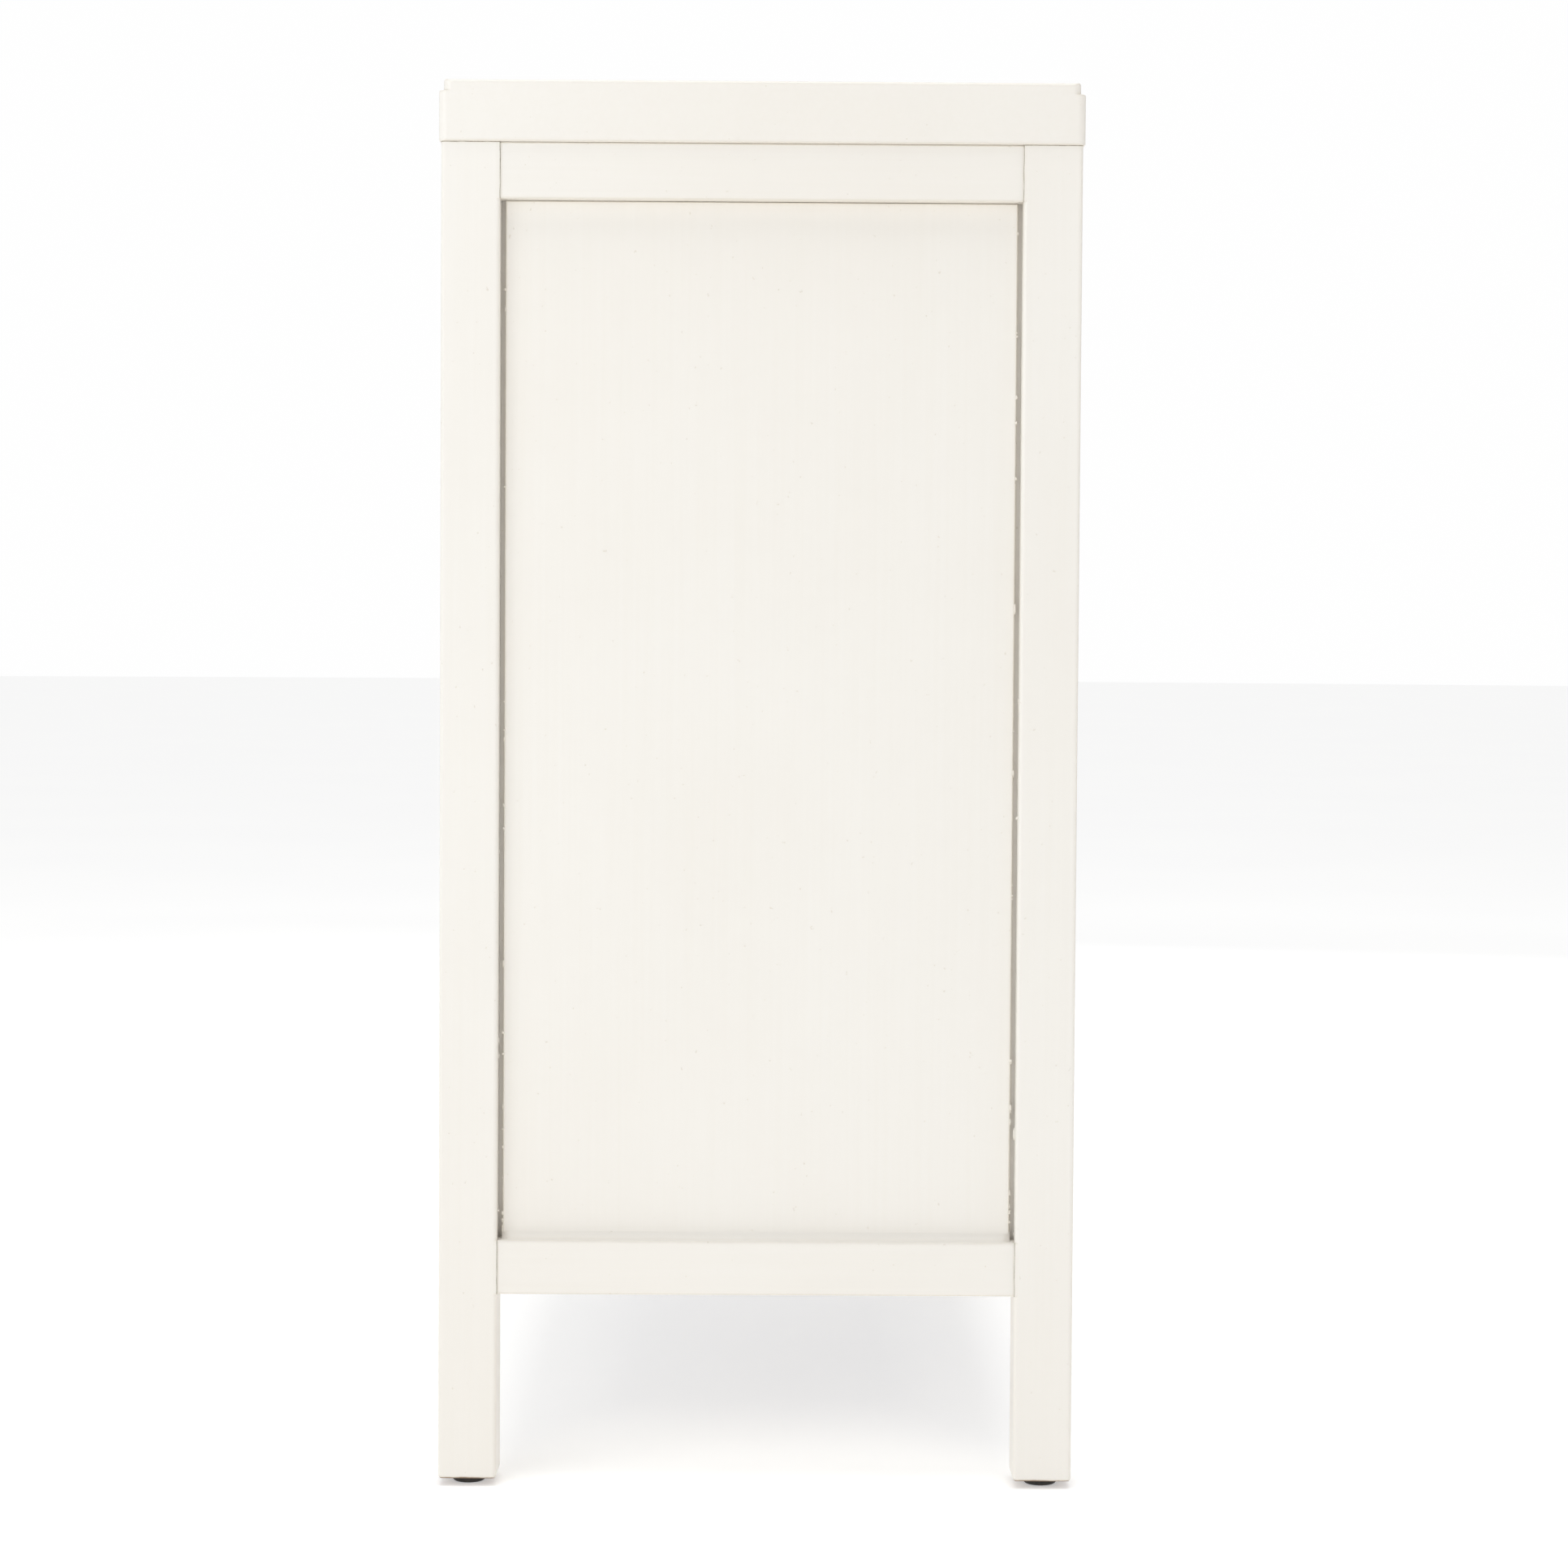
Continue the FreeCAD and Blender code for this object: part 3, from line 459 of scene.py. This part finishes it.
def make_piece(name, shape, materials, smooth=True, body="carcass"):
    """Turn a finished shape into a piece that rides on a body, and free the shape."""
    bmesh.ops.recalc_face_normals(shape, faces=shape.faces)
    mesh = bpy.data.meshes.new(name)
    shape.to_mesh(mesh)
    shape.free()
    for material in materials:
        mesh.materials.append(material)
    for face in mesh.polygons:
        face.use_smooth = smooth
    piece = bpy.data.objects.new(name, mesh)
    bpy.context.collection.objects.link(piece)
    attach(piece, body)


# --- Lacquer that fills the joints, with a hairline where each has moved ---

FILL_STEP = 0.8 * MM
FILL_ON_LEG = 2.8 * MM
FILL_ON_RAIL = 1.8 * MM
FILL_DEPTH = 3.0 * MM
CRACK_DEPTH = 0.7 * MM


def joint_ring(wall, side, height, rail_depth, seed):
    """The section of one joint's filling at one height. The crack wanders and opens here and there."""
    wander = 0.24 * MM * noise.noise(Vector((seed, 0.0, height * 110)))
    opening = noise.noise(Vector((seed, 7.0, height * 190)))
    width = (0.13 + 0.08 * opening + 0.30 * max(opening - 0.42, 0.0)) * MM
    sag = 0.02 * MM * noise.noise(Vector((seed, 3.0, height * 60)))
    section = [
        (FILL_ON_LEG, 0.05 * MM), (1.3 * MM, 0.05 * MM + abs(sag)), (wander + width, 0.12 * MM),
        (wander, CRACK_DEPTH), (wander - width, rail_depth - 0.06 * MM), (-1.0 * MM, rail_depth - 0.03 * MM),
        (-FILL_ON_RAIL, rail_depth + 0.06 * MM), (-FILL_ON_RAIL, FILL_DEPTH), (FILL_ON_LEG, FILL_DEPTH)]
    edge = half_clear(wall)
    return [wall_point(wall, side * (edge + offset), depth, height) for offset, depth in section]


def make_joint_fills(skin, grime):
    """One piece for each wall: the filled butt joints between its rails and its legs, each crack coloured by
    a material that is partly grime and partly painted shade.
    """
    for number, wall in enumerate(WALLS):
        shape = bmesh.new()
        for level in ("top", "bottom"):
            rail = f"{level}_rail_{wall}"
            low, high = (corner.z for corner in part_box(rail))
            steps = round((high - low) / FILL_STEP)
            for side in (-1, 1):
                seed = 11.0 * number + 3.7 * side + low * 40
                rings = []
                for i in range(steps + 1):
                    from_low = (high - low) * i / steps
                    from_edge = min(from_low, high - low - from_low)
                    depth = face_depth(wall, rail) + arris_drop(from_edge, RAIL_ARRIS)
                    rings.append(joint_ring(wall, side, low + from_low, depth, seed))
                # the crack's faces take the second material, which is partly grime and partly painted shade
                loft(shape, rings, dark_band=(2, 3))
        make_piece(f"joint_fill_{wall}", shape, (skin, grime), smooth=False)


# --- The painted shadow line under the top board, and the feet of the panels ---

TOP_LINE_HEIGHT = 0.45 * MM
TOP_LINE_PROUD = 0.03 * MM
TOP_LINE_DEPTH = 1.0 * MM
LEG_ARRIS = 2.4 * MM


def make_top_lines(grime):
    """One piece: the painted shadow line where each leg meets the top board, a dark strip round the leg's
    two outer faces.
    """
    shape = bmesh.new()
    under_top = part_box("top_board")[0].z
    size = LEG_OUTER.x - LEG_INNER.x
    for side_x in (-1, 1):
        for side_y in (-1, 1):
            rings = []
            for step, (spot, inward) in enumerate(corner_path(size)):
                ripple = noise.noise(Vector((step * 0.37, side_x * 5.0, side_y * 3.0)))
                low = under_top - TOP_LINE_HEIGHT * (1.0 + 0.5 * ripple)
                front, back = spot - inward * TOP_LINE_PROUD, spot + inward * TOP_LINE_DEPTH
                # painted shadow: a dark strip set just proud of the leg, under the top board's overhang
                corners = ((front, low), (front, under_top), (back, under_top), (back, low))
                rings.append([Vector((side_x * (LEG_OUTER.x - p.x), side_y * (LEG_OUTER.y - p.y), height))
                              for p, height in corners])
            loft(shape, rings)
    make_piece("top_shadow_lines", shape, (grime,), smooth=False)


def corner_path(size):
    """Points round a leg's outer arris, from one inner edge to the other, each with its inward direction.

    Both are measured inwards from the leg's two outer faces.
    """
    count = round(size / (2 * MM))
    lengths = [LEG_ARRIS + (size - LEG_ARRIS) * i / count for i in range(count, 0, -1)]
    path = [(Vector((0.0, far)), Vector((1.0, 0.0))) for far in lengths]
    for i in range(9):
        turn = math.radians(90 * i / 8)
        inward = Vector((math.cos(turn), math.sin(turn)))
        path.append((Vector((LEG_ARRIS, LEG_ARRIS)) - LEG_ARRIS * inward, inward))
    return path + [(Vector((far, 0.0)), Vector((0.0, 1.0))) for far in reversed(lengths)]


COVE_RADIUS = 5.2 * MM
COVE_UNEVENNESS = 0.036
COVE_TURNS = [math.radians(angle) for angle in (12, 24, 36, 48, 60, 72, 84)]
COVE_STEP = 6 * MM
COVE_INTO_RAIL = 0.4 * MM
COVE_INTO_PANEL = 1.5 * MM


def make_panel_feet(skin):
    """One piece for each panelled wall: the cove of lacquer where its panel stands on its bottom rail."""
    for number, wall in enumerate(PANELLED_WALLS):
        shape = bmesh.new()
        face = face_depth(wall, f"panel_{wall}")
        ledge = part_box(f"bottom_rail_{wall}")[1].z
        half = half_clear(wall) - PANEL_GAP + 0.3 * MM
        steps = round(2 * half / COVE_STEP)
        rings = []
        for i in range(steps + 1):
            along_wall = -half + 2 * half * i / steps
            ripple = noise.noise(Vector((along_wall * 55, number, 0.0)))
            radius = COVE_RADIUS * (1.0 + COVE_UNEVENNESS * ripple)
            section = [(face + 0.3 * MM, 1.1 * radius)]
            section += [(face - radius * (1 - math.cos(turn)), radius * (1 - math.sin(turn)))
                        for turn in COVE_TURNS]
            section += [(face - radius, -COVE_INTO_RAIL), (face + COVE_INTO_PANEL, -COVE_INTO_RAIL),
                        (face + COVE_INTO_PANEL, 1.1 * radius)]
            rings.append([wall_point(wall, along_wall, depth, ledge + up) for depth, up in section])
        loft(shape, rings)
        make_piece(f"panel_foot_{wall}", shape, (skin,))


# --- Beads and runs of lacquer in the gaps beside the panels ---

BEADS_PER_GAP = 34
BEAD_SIZES = (0.3, 0.4, 0.5, 0.65, 0.9)
BEAD_RUNS = (1.0, 1.0, 1.4, 2.6, 5.0)
BEAD_BURIED = 0.15 * MM


def add_bead(shape, place, radii, rng):
    """A small uneven blob of lacquer."""
    made = bmesh.ops.create_icosphere(shape, subdivisions=2, radius=1.0)["verts"]
    shift = Vector((rng.uniform(0, 50), rng.uniform(0, 50), rng.uniform(0, 50)))
    for vert in made:
        swell = 1.0 + 0.28 * noise.noise(vert.co * 1.3 + shift)
        vert.co = Vector(vert.co[i] * radii[i] * swell for i in range(3)) + place


def bead_height(low, high, rng):
    """A height in the gap. Most beads are in its lower third, where the lacquer ran to."""
    share = rng.random()
    return low + (high - low) * (share ** 2.6 if rng.random() < 0.8 else share)


def make_gap_beads(skin):
    """One piece for each panelled wall: the beads on its panel's two upright edges and its legs."""
    rng = random.Random(41)
    for wall in PANELLED_WALLS:
        shape = bmesh.new()
        face = face_depth(wall, f"panel_{wall}")
        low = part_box(f"bottom_rail_{wall}")[1].z
        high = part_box(f"top_rail_{wall}")[0].z
        for side in (-1, 1):
            for _ in range(BEADS_PER_GAP):
                size = rng.choice(BEAD_SIZES) * rng.uniform(0.8, 1.1) * MM
                run = rng.choice(BEAD_RUNS)
                on_leg = rng.random() < 0.25
                offset = BEAD_BURIED if on_leg else PANEL_GAP - BEAD_BURIED
                depth = face + rng.uniform(0.1, 1.6 if on_leg else 0.9) * MM
                height = bead_height(low + 3 * MM, high - 6 * MM, rng)
                place = wall_point(wall, side * (half_clear(wall) - offset), depth, height)
                add_bead(shape, place, (size, size, size * run), rng)
        make_piece(f"lacquer_beads_{wall}", shape, (skin,))


# --- Finishing the CAD nodes ---

def paint(material, *names):
    """Give a material to every slot of some CAD nodes."""
    for name in names:
        for slot in NODES[name].material_slots:
            slot.material = material


def finish_nodes():
    """A material for every CAD node, with its grain along the piece."""
    lacquers = {axis: lacquer(axis) for axis in "xyz"}
    drawer_lacquer = lacquer("x", handled=True)
    box_wood = bare_wood("box_wood", rgb(214, 180, 132), rgb(186, 146, 96))
    runner_wood = bare_wood("runner_wood", rgb(196, 156, 106), rgb(160, 118, 72), rings=12.0)
    brass = aged_brass()
    for name in NODES:
        if name.startswith("leg_") or name in ("panel_left", "panel_right", "column_dividers"):
            paint(lacquers["z"], name)
        elif name in ("top_rail_left", "top_rail_right", "bottom_rail_left", "bottom_rail_right"):
            paint(lacquers["y"], name)
        elif name.startswith("drawer_r") and name.endswith("_front"):
            paint(drawer_lacquer, name)
        elif name.endswith("_box"):
            paint(box_wood, name)
        elif name in ("drawer_runners", "drawer_stops", "end_battens"):
            paint(runner_wood, name)
        elif name.endswith(("_pull", "_ring")):
            paint(brass, name)
        elif name == "floor_glides":
            paint(glide_plastic(), name)
        elif name == "top_screws":
            paint(zinc_steel(), name)
        else:
            paint(lacquers["x"], name)
    return lacquers


make_floor()
make_world()
make_lights()
make_camera()
LACQUERS = finish_nodes()
JOINT_GRIME_AND_SHADE = joint_grime_and_shade()
make_joint_fills(LACQUERS["z"], JOINT_GRIME_AND_SHADE)
make_top_lines(JOINT_GRIME_AND_SHADE)
make_panel_feet(lacquer("y", fresh=True))
make_gap_beads(LACQUERS["z"])
bpy.context.scene.view_settings.view_transform = "Standard"
